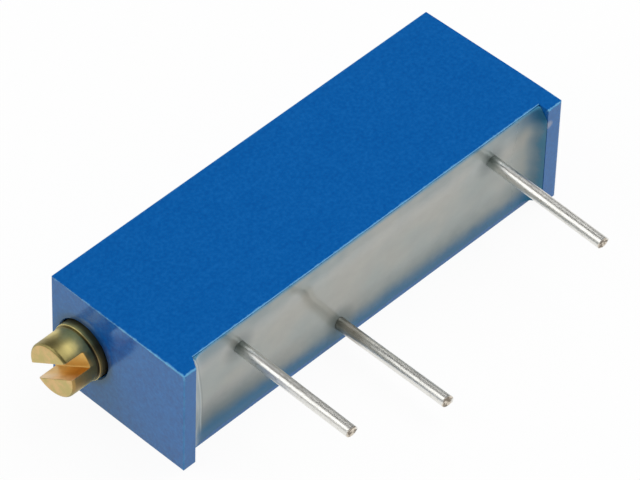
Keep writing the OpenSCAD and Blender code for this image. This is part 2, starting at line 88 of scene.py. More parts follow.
def add_piece(name, bm, body, replaced, sharp_degrees=35):
    """Turns a bmesh in millimetres into a smooth-shaded piece that stands for its CAD nodes."""
    bmesh.ops.recalc_face_normals(bm, faces=bm.faces)
    bmesh.ops.scale(bm, vec=(MM, MM, MM), verts=bm.verts)
    mesh = bpy.data.meshes.new(name)
    bm.to_mesh(mesh)
    bm.free()
    mesh.shade_smooth()
    mesh.set_sharp_from_angle(angle=math.radians(sharp_degrees))
    piece = bpy.data.objects.new(name, mesh)
    bpy.context.scene.collection.objects.link(piece)
    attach(piece, body)
    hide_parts(*replaced)


def loft(bm, rings):
    """Skins closed rings of equal length, one after the other."""
    loops = [[bm.verts.new(p) for p in ring] for ring in rings]
    for near, far in zip(loops, loops[1:]):
        for i in range(len(near)):
            j = (i + 1) % len(near)
            bm.faces.new((near[i], near[j], far[j], far[i]))
    return loops


def close_fan(bm, loop, point):
    """Closes a loop with triangles that meet in a point."""
    centre = bm.verts.new(point)
    for i in range(len(loop)):
        bm.faces.new((loop[i], loop[(i + 1) % len(loop)], centre))


def circle(sides, shift=0.0):
    """Angles of the corners of a regular polygon, turned by a share of one side."""
    return [2 * math.pi * (i + shift) / sides for i in range(sides)]


# Terminal pins: drawn wire, dipped in tin, flattened where the potting grips it

PIN_SIDES = 40
WIRE_R = 0.244
WIRE_STEP = 0.06
# How far the tip leans in X and Z, and how much of the wire is cut away
WIRE_LEAN = {"near_pin": (0.03, 0.07), "wiper_pin": (0.0, -0.02), "far_pin": (0.08, 0.12)}
WIRE_TRIM = {"near_pin": 0.04, "wiper_pin": 0.2, "far_pin": 0.0}
# Half sizes of the flattened part, and the length over which the wire goes flat and round again
ANCHOR_HALF_X, ANCHOR_HALF_Z = 0.37, 0.15
ANCHOR_START_FADE, ANCHOR_END_FADE = 0.15, 0.12
# The wire's top stays this far under the CAD pin's top
TOP_GAP = 0.01
SHEAR_DEPTH = 0.07
BURR_REACH = 0.05


def wire_centre(node, y):
    """Middle of a wire at one depth: bent a little at the potting, straight below it to the tip."""
    low, high = box_mm(node)
    share = min(max((y - low.y) / (RIM_Y - low.y), 0.0), 1.0)
    lean_x, lean_z = WIRE_LEAN[node]
    return (low.x + high.x) / 2 + lean_x * share, (low.z + high.z) / 2 + lean_z * share


def wire_section(y, anchor_start, anchor_end):
    """Half sizes of the wire's section along X and Z at one depth."""
    flat = smoothstep(anchor_start, anchor_start + ANCHOR_START_FADE, y)
    flat *= 1 - smoothstep(anchor_end - ANCHOR_END_FADE, anchor_end, y)
    return WIRE_R + flat * (ANCHOR_HALF_X - WIRE_R), WIRE_R + flat * (ANCHOR_HALF_Z - WIRE_R)


def wire_pin(name, node, seed, shear_angle):
    """One wire, with small dents along it and a sheared tip that slopes along shear_angle."""
    low, high = box_mm(node)
    anchor_start = RIM_Y + 0.12
    anchor_end = POTTING_TOP_Y - 0.02
    shear = Vector((math.cos(shear_angle), 0, math.sin(shear_angle)))
    outward = [Vector((math.cos(a), 0, math.sin(a))) for a in circle(PIN_SIDES)]
    bm = bmesh.new()

    def ring(y, shrink=1.0, tip=0.0):
        half_x, half_z = wire_section(y, anchor_start, anchor_end)
        centre_x, centre_z = wire_centre(node, y)
        points = []
        for out in outward:
            wobble = noise.noise(Vector((out.x * 0.8 + seed, y * 1.4, out.z * 0.8)))
            ripple = noise.noise(Vector((out.x * 3 + seed, y * 5, out.z * 3)))
            dent = 1 + 0.012 * wobble - 0.006 * abs(ripple)
            tilt = tip * (SHEAR_DEPTH * (0.5 + 0.5 * shear.dot(out)) + 0.012 * ripple)
            points.append((centre_x + half_x * shrink * dent * out.x, y + tilt,
                           centre_z + half_z * shrink * dent * out.z))
        return points

    tip_y = low.y + WIRE_TRIM[node] + BURR_REACH
    tip_end = 0.1
    body_length = high.y - tip_y - tip_end - TOP_GAP
    rows = max(2, round(body_length / WIRE_STEP))
    rings = [ring(tip_y + 0.015, 1.01, 1.0), ring(tip_y + 0.05, 1.0, 0.6)]
    rings += [ring(tip_y + tip_end + body_length * k / rows) for k in range(rows + 1)]
    loops = loft(bm, rings)
    top_x, top_z = wire_centre(node, high.y)
    close_fan(bm, loops[-1], (top_x, high.y - TOP_GAP, top_z))

    # Sheared end: a rolled edge, a bright slope and a rough break with a burr on one side
    face_rings = []
    end_x, end_z = wire_centre(node, tip_y)
    for shrink, drop in ((0.93, -0.012), (0.7, 0.01), (0.4, 0.022)):
        points = []
        for out in outward:
            across = shear.dot(out) * shrink
            rough = 0.014 * noise.noise(Vector((out.x * 4 * shrink + seed, out.z * 4 * shrink, 3.0)))
            y = tip_y + 0.012 + drop + SHEAR_DEPTH * (0.5 + 0.5 * across) + rough * (1 + across)
            points.append((end_x + WIRE_R * shrink * out.x, y, end_z + WIRE_R * shrink * out.z))
        face_rings.append([bm.verts.new(p) for p in points])
    for near, far in zip([loops[0]] + face_rings, face_rings):
        for i in range(PIN_SIDES):
            j = (i + 1) % PIN_SIDES
            bm.faces.new((near[j], near[i], far[i], far[j]))
    close_fan(bm, face_rings[-1], (end_x, tip_y + 0.03 + SHEAR_DEPTH / 2, end_z))
    for vert in loops[0]:
        out = Vector((vert.co.x - end_x, 0, vert.co.z - end_z)).normalized()
        vert.co.y -= (BURR_REACH - 0.015) * smoothstep(0.75, 1.0, -shear.dot(out))
    add_piece(name, bm, "case", [node], 50)


wire_pin("near_wire", "near_pin", 1.0, math.radians(200))
wire_pin("wiper_wire", "wiper_pin", 7.0, math.radians(160))
wire_pin("far_wire", "far_pin", 13.0, math.radians(215))


# Adjustment screw: turned brass with a milled slot and a right-hand drive thread

SCREW_Y = (SCREW_LOW.y + SCREW_HIGH.y) / 2
SCREW_Z = (SCREW_LOW.z + SCREW_HIGH.z) / 2
SCREW_SIDES = 96
HEAD_R = 1.095
HEAD_BEVEL = 0.13
HEAD_FRONT_X = SCREW_LOW.x
JOURNAL_R = 1.15
RIM_X = NEAR_X - 0.24
# Grooves for the sealing ring and for the retaining clip: middle, half width and floor radius
SEAL_X, SEAL_HALF, SEAL_FLOOR_R = NEAR_X + 0.85, 0.265, 0.70
CLIP_X, CLIP_HALF, CLIP_FLOOR_R = NEAR_X + 1.7, 0.17, 0.78
THREAD_R = 0.8
THREAD_ROOT_R = 0.62
THREAD_PITCH = 0.794
THREAD_CREST = 0.2
THREAD_FLANK = 0.13
THREAD_START_X = NEAR_X + 2.6
COLLAR_X, COLLAR_WIDTH, COLLAR_R = SCREW_HIGH.x - 0.73, 0.12, 0.85
TAIL_R = 0.45
SLOT_WIDTH = 0.64
SLOT_DEPTH = 0.86
SLOT_ANGLE = math.radians(145)


def about_screw(x, r, a):
    """A point at radius r and angle a about the screw axis."""
    return (x, SCREW_Y + r * math.cos(a), SCREW_Z + r * math.sin(a))


def turned(bm, profile, sides):
    """Turns a profile of (x, radius) about the screw axis, closed at both ends on the axis."""
    rings = [[about_screw(x, r, a) for a in circle(sides)] for x, r in profile]
    loops = loft(bm, rings)
    close_fan(bm, loops[0], (profile[0][0], SCREW_Y, SCREW_Z))
    close_fan(bm, loops[-1], (profile[-1][0], SCREW_Y, SCREW_Z))


def object_from(bm, name):
    """An object in millimetres, still to be cut or joined."""
    bmesh.ops.recalc_face_normals(bm, faces=bm.faces)
    mesh = bpy.data.meshes.new(name)
    bm.to_mesh(mesh)
    bm.free()
    made = bpy.data.objects.new(name, mesh)
    bpy.context.scene.collection.objects.link(made)
    return made


def combine(base, tool, operation):
    """Applies an exact boolean to base and deletes the tool."""
    modifier = base.modifiers.new("cut", "BOOLEAN")
    modifier.operation = operation
    modifier.solver = "EXACT"
    modifier.object = tool
    apply_modifiers(base)
    bpy.data.objects.remove(tool)


def apply_modifiers(piece):
    """Gives a piece the mesh that its modifiers make."""
    graph = bpy.context.evaluated_depsgraph_get()
    mesh = bpy.data.meshes.new_from_object(piece.evaluated_get(graph))
    piece.modifiers.clear()
    piece.data = mesh


def screw_body():
    """Head, rim, journal with its two grooves, thread core, collar and tail."""
    front_x = HEAD_FRONT_X
    bevel_curve = [(front_x + HEAD_BEVEL * (1 - math.sin(t)), HEAD_R - HEAD_BEVEL * (1 - math.cos(t)))
                   for t in (math.radians(90 - 15 * k) for k in range(7))]
    scribe_x, scribe_r = RIM_X - 0.05, HEAD_R - 0.04
    core_x, core_r = THREAD_START_X + 0.25, THREAD_ROOT_R - 0.02
    profile = [(front_x, 0.5), (front_x, HEAD_R - 0.2)] + bevel_curve + [
        (front_x + 0.5, HEAD_R), (scribe_x - 0.01, HEAD_R),
        (scribe_x, scribe_r), (RIM_X - 0.005, scribe_r),
        (RIM_X, JOURNAL_R - 0.025), (RIM_X + 0.02, JOURNAL_R), (RIM_X + 0.1, JOURNAL_R),
        (SEAL_X - SEAL_HALF, JOURNAL_R), (SEAL_X - SEAL_HALF, SEAL_FLOOR_R),
        (SEAL_X + SEAL_HALF, SEAL_FLOOR_R), (SEAL_X + SEAL_HALF, JOURNAL_R),
        (CLIP_X - CLIP_HALF, JOURNAL_R), (CLIP_X - CLIP_HALF, CLIP_FLOOR_R),
        (CLIP_X + CLIP_HALF, CLIP_FLOOR_R), (CLIP_X + CLIP_HALF, JOURNAL_R),
        (core_x, JOURNAL_R), (core_x, core_r),
        (COLLAR_X, core_r), (COLLAR_X, COLLAR_R), (COLLAR_X + COLLAR_WIDTH, COLLAR_R),
        (COLLAR_X + COLLAR_WIDTH, TAIL_R), (SCREW_HIGH.x - 0.03, TAIL_R), (SCREW_HIGH.x, TAIL_R - 0.03),
    ]
    bm = bmesh.new()
    turned(bm, profile, SCREW_SIDES)
    return object_from(bm, "adjusting_screw")


def drive_thread():
    """Helical ridge with a core, wound along the screw as rows that follow the helix."""
    steps = 36
    rows = int((COLLAR_X + 0.02 - THREAD_START_X) / THREAD_PITCH * steps)
    section = ((-THREAD_CREST / 2 - THREAD_FLANK, THREAD_ROOT_R), (-THREAD_CREST / 2, THREAD_R),
               (THREAD_CREST / 2, THREAD_R), (THREAD_CREST / 2 + THREAD_FLANK, THREAD_ROOT_R))
    bm = bmesh.new()
    lines = []
    for k in range(rows + 1):
        x, a = THREAD_START_X + THREAD_PITCH * k / steps, 2 * math.pi * k / steps
        lines.append([bm.verts.new(about_screw(x + offset, r, a)) for offset, r in section])
    for near, far in zip(lines, lines[1:]):
        for i in range(3):
            bm.faces.new((near[i], near[i + 1], far[i + 1], far[i]))
    for k in range(rows - steps):
        bm.faces.new((lines[k][3], lines[k + steps][0], lines[k + steps + 1][0], lines[k + 1][3]))
    first, last = lines[0], lines[rows]
    near_end = [line[0] for line in lines[:steps + 1]] + [first[3], first[2], first[1]]
    far_end = [line[3] for line in lines[rows - steps:]] + [last[2], last[1], last[0]]
    close_fan(bm, near_end, (THREAD_START_X - 0.3, SCREW_Y, SCREW_Z))
    close_fan(bm, far_end, (THREAD_START_X + THREAD_PITCH * rows / steps + 0.3, SCREW_Y, SCREW_Z))
    return object_from(bm, "thread_tool")


def slot_cutter():
    """Box as wide as the saw that cut the slot, with a slightly rounded floor."""
    reach = 1.6
    half = SLOT_WIDTH / 2
    corner, chamfer = 0.05, 0.015
    start_x, floor_x = HEAD_FRONT_X - 0.3, HEAD_FRONT_X + SLOT_DEPTH
    section = [(start_x, -half), (floor_x - corner, -half), (floor_x - chamfer, -half + chamfer),
               (floor_x, -half + corner), (floor_x, half - corner), (floor_x - chamfer, half - chamfer),
               (floor_x - corner, half), (start_x, half)]
    bm = bmesh.new()
    axis = Vector((0, SCREW_Y, SCREW_Z))
    turn = Matrix.Rotation(SLOT_ANGLE, 3, "X")
    loops = loft(bm, [[axis + turn @ Vector((x, side * reach, v)) for x, v in section] for side in (-1, 1)])
    for loop in loops:
        bm.faces.new(loop)
    return object_from(bm, "slot_tool")


def adjusting_screw():
    """The screw with its slot cut, its edges broken and its thread joined on."""
    screw = screw_body()
    combine(screw, slot_cutter(), "DIFFERENCE")
    bevel = screw.modifiers.new("broken_edges", "BEVEL")
    bevel.width = 0.018
    bevel.segments = 2
    bevel.limit_method = "ANGLE"
    bevel.angle_limit = math.radians(50)
    apply_modifiers(screw)
    combine(screw, drive_thread(), "UNION")
    bm = bmesh.new()
    bm.from_mesh(screw.data)
    bpy.data.objects.remove(screw)
    add_piece("adjusting_screw", bm, "screw", ["lead_screw"], 30)


adjusting_screw()


# Potting: one cast body that fills the pocket, climbs the pins and feet and wets the wall rims

GRID_STEP = 0.09
# Rings of points round each wire, as distances from its surface
RING_GAPS = (0.004, 0.025, 0.05, 0.08, 0.115, 0.155, 0.2, 0.25, 0.31)
# The resin is a thin film on the rims, sinks between them and climbs both feet
FILM = 0.014
SINK = 0.11
FOOT_CLIMB, BEAD_CLIMB, BEAD_Z = 0.2, 0.16, 1.7
FAR_CLIMB = 0.62
PIN_CLIMB = 0.012
RIM_GAP = 0.003
RIPPLE = 0.02
PIN_SPOTS = [Vector(wire_centre(node, RIM_Y)) for node in WIRE_LEAN]


def potting_height(x, z):
    """How far the potting stands out of the plane of the rims."""
    low_gap, high_gap = max(z - SIDE_WALL, 0.0), max(WIDTH - SIDE_WALL - z, 0.0)
    sag = (1 - math.exp(-(low_gap / 0.62) ** 2)) * (1 - math.exp(-(high_gap / 0.72) ** 2))
    h = FILM - (FILM + SINK) * sag
    bead = math.exp(-((z - BEAD_Z) / 0.8) ** 2)
    near_reach = 0.17 + 0.05 * bead
    h += (FOOT_CLIMB + BEAD_CLIMB * bead) * math.exp(-(max(x - NEAR_FLANK_X, 0) / near_reach) ** 1.3)
    corner_dip = 1 - 0.85 * smoothstep(4.2, 4.6, z)
    h += FAR_CLIMB * math.exp(-(max(FAR_FLANK_X - x, 0) / 0.2) ** 1.2) * corner_dip
    for spot in PIN_SPOTS:
        gap = max((Vector((x, z)) - spot).length - WIRE_R, 0)
        h += PIN_CLIMB * math.exp(-(gap / 0.17) ** 2)
    h += RIPPLE * noise.noise(Vector((x * 0.4, z * 0.7, 4.0))) * sag
    return min(h, STANDOFF - 0.02)


def potting_mesh():
    """The casting as a triangulated upper face over a plain lower one, with a hole for each wire."""
    near_x, far_x = NEAR_FLANK_X + CAST_GAP, FAR_FLANK_X - CAST_GAP
    columns = round((far_x - near_x) / GRID_STEP)
    xs = [near_x + (far_x - near_x) * i / columns for i in range(columns + 1)]
    low_seam, high_seam = SIDE_WALL + CAST_GAP, WIDTH - SIDE_WALL - CAST_GAP
    low_edge = [0.2 + 0.06 * noise.noise(Vector((x * 0.9, 0, 9.0))) for x in xs]
    high_edge = [WIDTH - 0.05 + 0.03 * noise.noise(Vector((x * 1.1, 0, 2.0))) for x in xs]

    points, edges = [], []

    def add_line(line, closed=False):
        first = len(points)
        points.extend(line)
        last = len(points) - 1
        edges.extend((k, k + 1) for k in range(first, last))
        if closed:
            edges.append((last, first))
        return first, last

    bottom = add_line(list(zip(xs, low_edge)))
    low_line = add_line([(x, low_seam) for x in xs])
    high_line = add_line([(x, high_seam) for x in xs])
    top = add_line(list(zip(xs, high_edge)))
    rows = round((high_seam - low_seam) / GRID_STEP)

    def row_z(k):
        return low_seam + (high_seam - low_seam) * k / rows

    side_lines = [add_line([(x, row_z(k)) for k in range(1, rows)]) for x in (near_x, far_x)]
    for end, side in enumerate(side_lines):
        edges.extend([(bottom[end], low_line[end]), (low_line[end], side[0]),
                      (side[1], high_line[end]), (high_line[end], top[end])])
    for spot in PIN_SPOTS:
        for n, gap in enumerate(RING_GAPS):
            r, angles = WIRE_R + gap, circle(PIN_SIDES, 0.5 * (n % 2))
            ring = [(spot.x + r * math.cos(a), spot.y + r * math.sin(a)) for a in angles]
            if n == 0:
                add_line(ring, closed=True)
            else:
                points.extend(ring)
    for i in range(1, columns):
        for k in range(1, rows):
            p = Vector((xs[i], row_z(k + 0.5 * (i % 2) - 0.25)))
            if min((p - spot).length for spot in PIN_SPOTS) > WIRE_R + RING_GAPS[-1] + 0.05:
                points.append(tuple(p))
    for i in range(1, columns):
        for k in (1, 2):
            points.append((xs[i], low_edge[i] + (low_seam - low_edge[i]) * k / 3))
            points.append((xs[i], high_seam + (high_edge[i] - high_seam) * k / 3))

    flat_points, _, faces, *_ = geometry.delaunay_2d_cdt([Vector(p) for p in points], edges, [], 1, 1e-6)
    bm = bmesh.new()
    upper, lower = [], {}
    lean = NEAR_FOOT_SLOPE / STANDOFF
    for p in flat_points:
        h = potting_height(p.x, p.y)
        over_rim = p.y < low_seam - 1e-4 or p.y > high_seam + 1e-4
        if over_rim:
            inset = min(abs(p.y - low_seam), abs(p.y - high_seam))
            h = max(h, FILM * (1 - 0.5 * inset / SIDE_WALL))
        shift = lean * h * (1 - smoothstep(0, 0.4, p.x - near_x)) if h > 0 else 0
        upper.append(bm.verts.new((p.x - shift, RIM_Y - h, p.y)))

    def lower_vert(index, over_rim):
        """The corner under a point: just over the rim, or down at the casting's inner face."""
        key = index, over_rim
        if key not in lower:
            p = flat_points[index]
            y = RIM_Y - RIM_GAP if over_rim else POTTING_TOP_Y
            lower[key] = bm.verts.new((p.x, y, p.y))
        return lower[key]

    rim_side = {}
    for face in faces:
        centre = sum((flat_points[i] for i in face), Vector((0, 0))) / len(face)
        if min((centre - spot).length for spot in PIN_SPOTS) < WIRE_R:
            continue
        over_rim = centre.y < low_seam or centre.y > high_seam
        bm.faces.new([upper[i] for i in face])
        bm.faces.new([lower_vert(i, over_rim) for i in reversed(face)])
        for a, b in zip(face, list(face[1:]) + [face[0]]):
            rim_side.setdefault(frozenset((a, b)), []).append((a, b, over_rim))
    for sides in rim_side.values():
        if len(sides) == 1:
            a, b, over_rim = sides[0]
            bm.faces.new((upper[b], upper[a], lower_vert(a, over_rim), lower_vert(b, over_rim)))
        elif sides[0][2] != sides[1][2]:
            a, b, over_rim = sides[0]
            bm.faces.new((lower_vert(b, over_rim), lower_vert(a, over_rim),
                          lower_vert(a, not over_rim), lower_vert(b, not over_rim)))
    return bm


add_piece("cast_potting", potting_mesh(), "case", ["potting"], 60)


# ---------------------------------------------------------------- materials


class Graph:
    """Short ways to put nodes in a material, a world or a node group."""

    def __init__(self, tree):
        self.tree = tree

    def give(self, socket, value):
        """Links another node's output to a socket, or sets the socket to a plain value."""
        if isinstance(value, bpy.types.NodeSocket):
            self.tree.links.new(value, socket)
        else:
            socket.default_value = value

    def put(self, kind, inputs=None, **settings):
        node = self.tree.nodes.new("ShaderNode" + kind)
        for key, value in settings.items():
            setattr(node, key, value)
        for key, value in (inputs or {}).items():
            self.give(node.inputs[key], value)
        return node

    def math(self, operation, a, b=0.0, clamp=False):
        return self.put("Math", {0: a, 1: b}, operation=operation, use_clamp=clamp).outputs[0]

    def times(self, a, b):
        return self.math("MULTIPLY", a, b)

    def plus(self, a, b):
        return self.math("ADD", a, b)

    def minus(self, a, b):
        return self.math("SUBTRACT", a, b)

    def larger(self, a, b):
        return self.math("MAXIMUM", a, b)

    def vector(self, operation, a, b=(0, 0, 0)):
        return self.put("VectorMath", {0: a, 1: b}, operation=operation).outputs["Vector"]

    def length(self, vector):
        return self.put("VectorMath", {0: vector}, operation="LENGTH").outputs["Value"]

    def blend(self, factor, a, b):
        return self.put("Mix", {0: factor, 6: a, 7: b}, data_type="RGBA").outputs[2]

    def span(self, value, low, high, to_low=0.0, to_high=1.0):
        inputs = {"Value": value, "From Min": low, "From Max": high, "To Min": to_low, "To Max": to_high}
        return self.put("MapRange", inputs, interpolation_type="SMOOTHSTEP").outputs["Result"]

    def noise(self, position, scale, detail=3.0, roughness=0.55):
        inputs = {"Vector": position, "Scale": scale, "Detail": detail, "Roughness": roughness}
        return self.put("TexNoise", inputs).outputs["Fac"]

    def parts(self, vector):
        return self.put("SeparateXYZ", {0: vector}).outputs

    def use(self, group, **inputs):
        node = self.put("Group", node_tree=group)
        for key, value in inputs.items():
            self.give(node.inputs[key.replace("_", " ")], value)
        return node.outputs


def new_group(name, inputs, outputs):
    """Node group with named sockets; inputs maps a name to (kind, default)."""
    tree = bpy.data.node_groups.new(name, "ShaderNodeTree")
    for socket, (kind, value) in inputs.items():
        made = tree.interface.new_socket(name=socket, in_out="INPUT", socket_type="NodeSocket" + kind)
        if value is not None:
            made.default_value = value
    for socket in outputs:
        tree.interface.new_socket(name=socket, in_out="OUTPUT", socket_type="NodeSocketFloat")
    return Graph(tree), tree.nodes.new("NodeGroupInput").outputs, tree.nodes.new("NodeGroupOutput").inputs


def edge_wear_group():
    """Light worn line along the edges of a box, broken by small nicks."""
    g, given, out = new_group(
        "edge wear",
        {"Position": ("Vector", None), "Low": ("Vector", None), "High": ("Vector", None),
         "Width": ("Float", 0.08), "Nick Scale": ("Float", 6.0)},
        ["Wear"])
    from_low = g.parts(g.vector("ABSOLUTE", g.vector("SUBTRACT", given["Position"], given["Low"])))
    from_high = g.parts(g.vector("ABSOLUTE", g.vector("SUBTRACT", given["Position"], given["High"])))
    gaps = [g.math("MINIMUM", from_low[i], from_high[i]) for i in range(3)]
    smaller = g.math("MINIMUM", gaps[0], gaps[1])
    larger = g.larger(gaps[0], gaps[1])
    edge_gap = g.larger(smaller, g.math("MINIMUM", larger, gaps[2]))
    nicks = g.noise(given["Position"], given["Nick Scale"], 4.0, 0.7)
    reach = g.times(given["Width"], g.span(nicks, 0.42, 0.72, 0.8, 1.7))
    wear = g.math("SUBTRACT", 1.0, g.math("DIVIDE", edge_gap, reach), clamp=True)
    g.give(out["Wear"], wear)
    return g.tree


def mottle_group():
    """Two sizes of soft blotches and a fine grain, each as a value round zero."""
    g, given, out = new_group(
        "mottle",
        {"Position": ("Vector", None), "Stretch": ("Vector", (1, 1, 1)), "Blotch Scale": ("Float", 0.6),
         "Grain Scale": ("Float", 18.0)},
        ["Blotch", "Cloud", "Grain"])
    placed = g.vector("MULTIPLY", given["Position"], given["Stretch"])
    for name, scale, detail in (("Blotch", given["Blotch Scale"], 2.0),
                                ("Cloud", g.times(given["Blotch Scale"], 3.7), 3.0),
                                ("Grain", given["Grain Scale"], 5.0)):
        g.give(out[name], g.minus(g.noise(placed, scale, detail), 0.5))
    return g.tree


def scratch_group():
    """Fine lines drawn out along one direction, and the few deeper ones among them."""
    g, given, out = new_group(
        "drawn lines",
        {"Position": ("Vector", None), "Across": ("Vector", (30, 1, 30)), "Amount": ("Float", 0.5)},
        ["Lines", "Deep"])
    placed = g.vector("MULTIPLY", given["Position"], given["Across"])
    lines = g.noise(placed, 1.0, 4.0, 0.6)
    g.give(out["Lines"], g.minus(lines, 0.5))
    g.give(out["Deep"], g.span(lines, g.minus(0.75, g.times(given["Amount"], 0.2)), 0.8))
    return g.tree


EDGE_WEAR = edge_wear_group()
MOTTLE = mottle_group()
DRAWN = scratch_group()


def new_material(name):
    """Material with a Principled shader, and the position on the piece in millimetres."""
    material = bpy.data.materials.new(name)
    material.use_nodes = True
    g = Graph(material.node_tree)
    shader = material.node_tree.nodes["Principled BSDF"]
    coordinates = g.put("TexCoord").outputs["Object"]
    position = g.vector("MULTIPLY", coordinates, (1 / MM, 1 / MM, 1 / MM))
    return material, g, shader, position


def feed(g, shader, **inputs):
    for key, value in inputs.items():
        g.give(shader.inputs[key.replace("_", " ")], value)


def bump(g, height, depth_mm):
    inputs = {"Height": height, "Distance": depth_mm * MM, "Strength": 1.0}
    return g.put("Bump", inputs).outputs["Normal"]


def tone(g, value, amount):
    """A multiplier round one from a value round zero."""
    return g.plus(g.times(value, amount), 1.0)


def scaled(g, colour, factor):
    if not isinstance(colour, bpy.types.NodeSocket):
        colour = colour[:3]
    return g.put("VectorMath", {0: colour, "Scale": factor}, operation="SCALE").outputs["Vector"]


def housing_material():
    """Blue moulding compound: fine grain, faint flow streaks, pale worn edges with a painted highlight on
    the upper ones, and dirt with painted shade round the screw hole.
    """
    material, g, shader, position = new_material("moulded_blue")
    x, y, z = g.parts(position)
    mottle = g.use(MOTTLE, Position=position, Stretch=(1.0, 1.0, 1.0), Blotch_Scale=0.25, Grain_Scale=7.0)
    streaks = g.use(DRAWN, Position=position, Across=(0.8, 9.0, 9.0), Amount=0.3)
    blue, blue_step = (0.0006, 0.0955, 0.362), (0.011, 0.08, 0.177)
    pale = (0.15, 0.43, 0.70, 1)
    darkening = (0.004, 0.012, 0.03, 1)
    resin_smear, smear_spot = (0.33, 0.33, 0.42, 1), (8.86, RIM_Y - 0.4, 4.08)

    # Grain of the blue, twice as strong on the screw end
    amount = g.plus(g.times(mottle["Grain"], 0.9), g.times(mottle["Cloud"], 0.2))
    amount = g.plus(amount, g.times(streaks["Lines"], 0.15))
    at_end = g.span(x, NEAR_X + 0.02, NEAR_X + 0.1, 1.0, 0.0)
    amount = g.times(amount, g.plus(1.0, at_end))
    base = g.vector("MAXIMUM", g.vector("ADD", scaled(g, blue_step, amount), blue))

    # Worn edges of the outside and of the rims, palest along the upper face, where the wear is topped up
    # with a painted highlight
    outer = g.use(EDGE_WEAR, Position=position, Low=tuple(HOUSING_LOW), High=tuple(HOUSING_HIGH),
                  Width=0.065, Nick_Scale=2.4)
    rim = g.use(EDGE_WEAR, Position=position, Low=(NEAR_X, RIM_Y, 0), High=tuple(HOUSING_HIGH),
                Width=0.05, Nick_Scale=3.0)
    between_feet = g.times(g.math("GREATER_THAN", x, NEAR_FLANK_X), g.math("LESS_THAN", x, FAR_FLANK_X))
    wear = g.larger(outer["Wear"], g.times(rim["Wear"], between_feet))
    wear_and_highlight = g.times(g.span(z, WIDTH - 0.3, WIDTH - 0.1, 0.4, 1.0),
                      g.span(y, BACK_Y - 0.2, BACK_Y - 0.08, 1.0, 0.3))
    colour = g.blend(g.times(wear, wear_and_highlight), base, pale)

    # Dirt and painted shade round the screw hole, and a smear of resin on the far foot
    from_screw = g.vector("MULTIPLY", g.vector("SUBTRACT", position, (0, SCREW_Y, SCREW_Z)), (0, 1, 1))
    screw_gap = g.plus(g.length(from_screw), g.times(mottle["Cloud"], 0.15))
    dirt_and_shade_ring = g.times(g.span(screw_gap, JOURNAL_R + 0.05, JOURNAL_R + 0.5, 0.85, 0.0), at_end)
    colour = g.blend(dirt_and_shade_ring, colour, darkening)
    smear_gap = g.plus(g.length(g.vector("SUBTRACT", position, smear_spot)), g.times(mottle["Cloud"], 0.25))
    colour = g.blend(g.span(smear_gap, 0.1, 0.26, 0.7, 0.0), colour, resin_smear)

    roughness = g.plus(g.plus(0.10, g.times(at_end, 0.05)), g.times(mottle["Cloud"], 0.04))
    height = g.plus(mottle["Grain"], g.times(streaks["Lines"], 0.6))
    feed(g, shader, Base_Color=colour, Roughness=roughness,
         IOR=1.54, Specular_Tint=(0.5, 1.0, 0.9, 1), Normal=bump(g, height, 0.0015))
    return material


def bead_layers(g, colour, x, z):
    """Pale bead of resin along the near foot, with a painted highlight along its edge and a painted shadow
    line just past it.
    """
    pale_blue, painted_glint, shade = (0.22, 0.33, 0.42, 1), (0.60, 0.66, 0.66, 1), (0.10, 0.14, 0.15, 1)
    from_middle = g.minus(z, 1.9)
    bead_reach = g.minus(0.56, g.times(0.07, g.times(from_middle, from_middle)))
    past_bead = g.minus(g.minus(x, NEAR_FLANK_X), bead_reach)
    fade = g.span(z, 0.45, 1.1)
    colour = g.blend(g.times(fade, g.span(past_bead, -0.06, 0.0, 0.35, 0.0)), colour, pale_blue)
    # Painted highlight along the bead's edge
    line = g.span(g.math("ABSOLUTE", g.plus(past_bead, 0.02)), 0.0, 0.045, 0.55, 0.0)
    colour = g.blend(g.times(line, fade), colour, painted_glint)
    # Painted shadow line just past the bead
    painted_shadow_line = g.span(g.math("ABSOLUTE", g.minus(past_bead, 0.06)), 0.0, 0.05, 0.35, 0.0)
    return g.blend(g.times(painted_shadow_line, fade), colour, shade)


